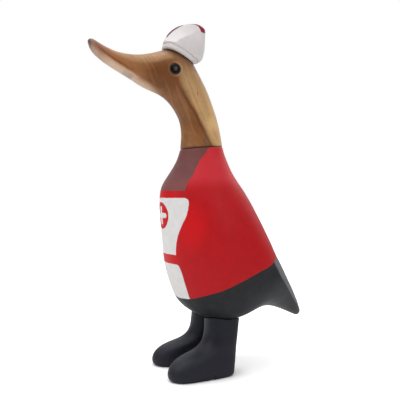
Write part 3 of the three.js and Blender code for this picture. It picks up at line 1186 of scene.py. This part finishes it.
def pale_floor(stage):
    """Nearly white, with only a soft shadow where something stands on it."""
    brush = Brush("pale_floor")
    cloud = brush.noise(brush.place(), 400.0, 1.0)
    seen = brush.node("ShaderNodeLightPath").outputs["Is Camera Ray"]
    open_air = brush.node("ShaderNodeAmbientOcclusion", {"Distance": CONTACT_REACH}).outputs["AO"]
    brush.feed(brush.shader.inputs["Emission Color"], WHITE)
    brush.feed(
        brush.shader.inputs["Emission Strength"],
        brush.both(seen, brush.math("POWER", open_air, 2.0), stage.floor_glow),
    )
    return brush.finish(brush.mix(cloud, *FLOOR_GREY), roughness=0.9, specular=0.5)


def light_room(context, stage):
    """Soft light that grows towards the top, with a pale wall behind the duck."""
    world = bpy.data.worlds.new("soft_room")
    context.scene.world = world
    world.use_nodes = True
    room = Nodes(world.node_tree)
    direction = room.node("ShaderNodeTexCoord").outputs["Generated"]
    sky = room.ease(room.split(direction)["Z"], *SKY_FADE, stage.low_sky, stage.high_sky)
    wall = room.ease(
        room.vector("DOT_PRODUCT", direction, WALL)["Value"], *WALL_FADE, 0.0, stage.wall_glow
    )
    soft = room.tree.nodes["Background"]
    room.feed(soft.inputs["Color"], WHITE)
    room.feed(soft.inputs["Strength"], room.math("ADD", sky, wall))
    white = room.node("ShaderNodeBackground", {"Color": WHITE, "Strength": 1.0})
    seen = room.node("ShaderNodeLightPath").outputs["Is Camera Ray"]
    choose = room.node("ShaderNodeMixShader", {0: seen, 1: soft.outputs[0], 2: white.outputs[0]})
    room.feed(room.tree.nodes["World Output"].inputs["Surface"], choose.outputs[0])


def softbox(name, place, width, power, colour):
    """A square light that faces the duck's middle."""
    deselect_all()
    turn = (DUCK_MIDDLE - Vector(place)).to_track_quat("-Z", "Y").to_euler()
    bpy.ops.object.light_add(type="AREA", location=place, rotation=turn)
    light = bpy.context.object
    light.name = name
    light.data.shape = "SQUARE"
    light.data.size = width
    light.data.energy = power
    light.data.color = colour


class DUCK_OT_build_stage(bpy.types.Operator):
    """Put down the pale floor, the soft studio light and the camera"""
    bl_idname = "duck.build_stage"
    bl_label = "Build the stage"

    def execute(self, context):
        stage = context.scene.duck_stage
        deselect_all()
        bpy.ops.mesh.primitive_plane_add(size=FLOOR_SIZE)
        floor = context.object
        floor.name = "floor"
        floor.data.materials.append(pale_floor(stage))
        light_room(context, stage)
        for name, (place, width, colour) in SOFTBOXES.items():
            softbox(name + "_softbox", place, width, getattr(stage, name + "_light"), colour)
        bpy.ops.object.camera_add(
            location=stage.camera_place, rotation=(math.pi / 2 - stage.camera_dip, 0.0, stage.camera_turn)
        )
        camera = context.object
        camera.data.lens = stage.lens
        camera.data.sensor_width = SENSOR_WIDTH
        context.scene.camera = camera
        context.scene.view_settings.view_transform = "Standard"
        return {"FINISHED"}


# Add-on

GROUPS = {
    "duck_form": DuckForm,
    "duck_eyes": DuckEyes,
    "duck_paint": DuckPaint,
    "duck_wood": DuckWood,
    "duck_stage": DuckStage,
}
PIECES = (
    DUCK_OT_paint_body,
    DUCK_OT_carve_head,
    DUCK_OT_set_eyes,
    DUCK_OT_shape_cap,
    DUCK_OT_shape_boots,
    DUCK_OT_build_stage,
)


class DUCK_PT_workshop(bpy.types.Panel):
    """The duck's pieces, in the order they are made"""
    bl_idname = "DUCK_PT_workshop"
    bl_label = "Wooden Duck"
    bl_space_type = "VIEW_3D"
    bl_region_type = "UI"
    bl_category = "Duck"

    def draw(self, context):
        for name in GROUPS:
            group = getattr(context.scene, name)
            box = self.layout.box()
            for key in group.bl_rna.properties.keys():
                if key not in ("rna_type", "name"):
                    box.prop(group, key)
        for operator in PIECES:
            self.layout.operator(operator.bl_idname)


def register():
    for made in (*GROUPS.values(), *PIECES, DUCK_PT_workshop):
        bpy.utils.register_class(made)
    for name, group in GROUPS.items():
        setattr(bpy.types.Scene, name, PointerProperty(type=group))


def unregister():
    for name in GROUPS:
        delattr(bpy.types.Scene, name)
    for made in (DUCK_PT_workshop, *reversed(PIECES), *reversed(GROUPS.values())):
        bpy.utils.unregister_class(made)


def main():
    register()
    bpy.ops.duck.paint_body()
    bpy.ops.duck.carve_head()
    bpy.ops.duck.set_eyes()
    bpy.ops.duck.shape_cap()
    bpy.ops.duck.shape_boots()
    bpy.ops.duck.build_stage()


if __name__ == "__main__":
    main()
